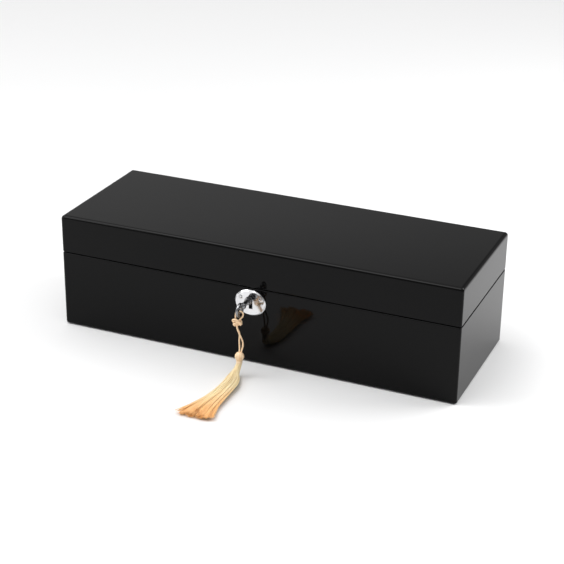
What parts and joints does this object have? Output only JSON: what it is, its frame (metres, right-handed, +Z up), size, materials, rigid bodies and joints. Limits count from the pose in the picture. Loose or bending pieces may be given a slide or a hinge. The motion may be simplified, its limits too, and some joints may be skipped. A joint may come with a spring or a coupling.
{
  "type": "wind up music box",
  "caption": "Long hinged box in gloss black lacquer that plays a wind-up movement when its lid opens; front lock with a tasselled key, velvet trays and a lid mirror inside.",
  "frame": {"origin": "centre of the underside, on the surface the box stands on, lid closed and key in the lock with the bit down", "axes": "+X to the right along the front, +Y from the front with the lock to the back with the hinges, +Z up"},
  "size_m": [0.32, 0.2128, 0.091],
  "materials": {
    "lacquer": "high gloss black lacquer",
    "board": "plain sanded board",
    "felt": "pressed felt",
    "velvet": "short pile velvet",
    "chrome": "polished",
    "steel": "satin",
    "blued_steel": "spring steel",
    "brass": "satin",
    "acrylic": "clear sheet",
    "mirror_glass": "polished",
    "silk": "shiny rayon thread"
  },
  "bodies": {
    "case": {"case_front_panel": "lacquer", "case_back_panel": "lacquer", "case_left_panel": "lacquer", "case_right_panel": "lacquer", "case_bottom_panel": "board", "base_felt": "felt", "bay_partition": "board", "movement_deck": "board", "key_well_tube": "board", "bay_cleats": "board", "movement_window": "acrylic", "tray_dividers": "velvet", "tray_linings": "velvet", "ring_riser": "velvet", "ring_rolls": "velvet", "lock_escutcheon": "chrome", "escutcheon_screws": "chrome", "lock_case": "steel", "lock_cover": "steel", "case_rim_screws": "brass", "hinge_case_leaves": "brass", "hinge_pins": "brass", "movement_bedplate": "steel", "movement_screws": "steel", "bedplate_screws": "steel", "barrel_bridge": "brass", "governor_frame": "brass", "music_comb": "steel"},
    "lid": {"lid_top_panel": "lacquer", "lid_front_rail": "lacquer", "lid_back_rail": "lacquer", "lid_left_rail": "lacquer", "lid_right_rail": "lacquer", "lid_lining_frame": "velvet", "lid_mirror": "mirror_glass", "strike_plate": "steel", "hinge_lid_leaves": "brass", "lid_rim_screws": "brass"},
    "stop_wire": {"stop_wire": "steel"},
    "lock_pin": {"lock_pin": "steel"},
    "lock_bolt": {"lock_bolt": "steel"},
    "key": {"lock_key": "chrome"},
    "tassel": {"tassel_cord": "silk", "tassel_knot": "silk", "tassel_head": "silk", "tassel_skirt": "silk"},
    "winding": {"winding_key": "steel", "winding_arbor": "steel", "ratchet_wheel": "steel"},
    "click": {"ratchet_click": "steel"},
    "barrel": {"spring_barrel": "brass", "barrel_cover": "brass", "mainspring": "blued_steel"},
    "cylinder": {"music_cylinder": "brass", "cylinder_pins": "steel", "cylinder_arbor": "brass"},
    "governor_wheel": {"governor_arbor": "brass"},
    "governor_fan": {"governor_worm": "steel", "governor_fan": "brass"}
  },
  "joints": [
    {"name": "lid_hinge", "type": "hinge", "parent": "case", "child": "lid", "pos_m": [0, 0.0594, 0.061], "axis": [-1, 0, 0], "range_deg": [0, 95]},
    {"name": "stop_wire_slide", "type": "slide", "parent": "case", "child": "stop_wire", "axis": [0, 0, 1], "range_m": [0, 0.003]},
    {"name": "lock_key_turn", "type": "hinge", "parent": "case", "child": "lock_pin", "pos_m": [0, -0.0525, 0.053], "axis": [0, -1, 0], "range_deg": [0, 90]},
    {"name": "lock_bolt_slide", "type": "slide", "parent": "case", "child": "lock_bolt", "axis": [1, 0, 0], "range_m": [0, 0.005]},
    {"name": "key_withdraw", "type": "slide", "parent": "lock_pin", "child": "key", "axis": [0, -1, 0], "range_m": [0, 0.03]},
    {"name": "tassel_hang", "type": "hinge", "parent": "key", "child": "tassel", "pos_m": [0, -0.0776, 0.04825], "axis": [0, -1, 0], "range_deg": [-90, 0]},
    {"name": "winding_key_turn", "type": "hinge", "parent": "case", "child": "winding", "pos_m": [-0.133, 0.002, 0.02], "axis": [0, 0, 1], "continuous": true},
    {"name": "click_pivot", "type": "hinge", "parent": "case", "child": "click", "pos_m": [-0.12992, 0.01046, 0.0457], "axis": [0, 0, -1], "range_deg": [0, 12], "stiffness_Nm_per_rad": 0.0008, "springref_deg": -8.59},
    {"name": "barrel_spin", "type": "hinge", "parent": "case", "child": "barrel", "pos_m": [-0.133, 0.002, 0.03], "axis": [0, 0, 1], "continuous": true},
    {"name": "cylinder_spin", "type": "hinge", "parent": "case", "child": "cylinder", "pos_m": [-0.11, 0.002, 0.0408], "axis": [1, 0, 0], "continuous": true},
    {"name": "governor_wheel_spin", "type": "hinge", "parent": "case", "child": "governor_wheel", "pos_m": [-0.0972, 0.01104, 0.03639], "axis": [1, 0, 0], "continuous": true},
    {"name": "governor_fan_spin", "type": "hinge", "parent": "case", "child": "governor_fan", "pos_m": [-0.0962, 0.01787, 0.035], "axis": [0, 0, 1], "continuous": true}
  ],
  "couplings": [
    {"joint": "stop_wire_slide", "follows": "lid_hinge", "m_per_rad": 0.0018093},
    {"joint": "cylinder_spin", "follows": "barrel_spin", "ratio": 2.25},
    {"joint": "governor_wheel_spin", "follows": "barrel_spin", "ratio": -9},
    {"joint": "governor_fan_spin", "follows": "barrel_spin", "ratio": -72},
    {"joint": "lock_key_turn", "follows": "lock_bolt_slide", "rad_per_m": 314.16},
    {"joint": "tassel_hang", "follows": "lock_bolt_slide", "rad_per_m": -314.16}
  ]
}
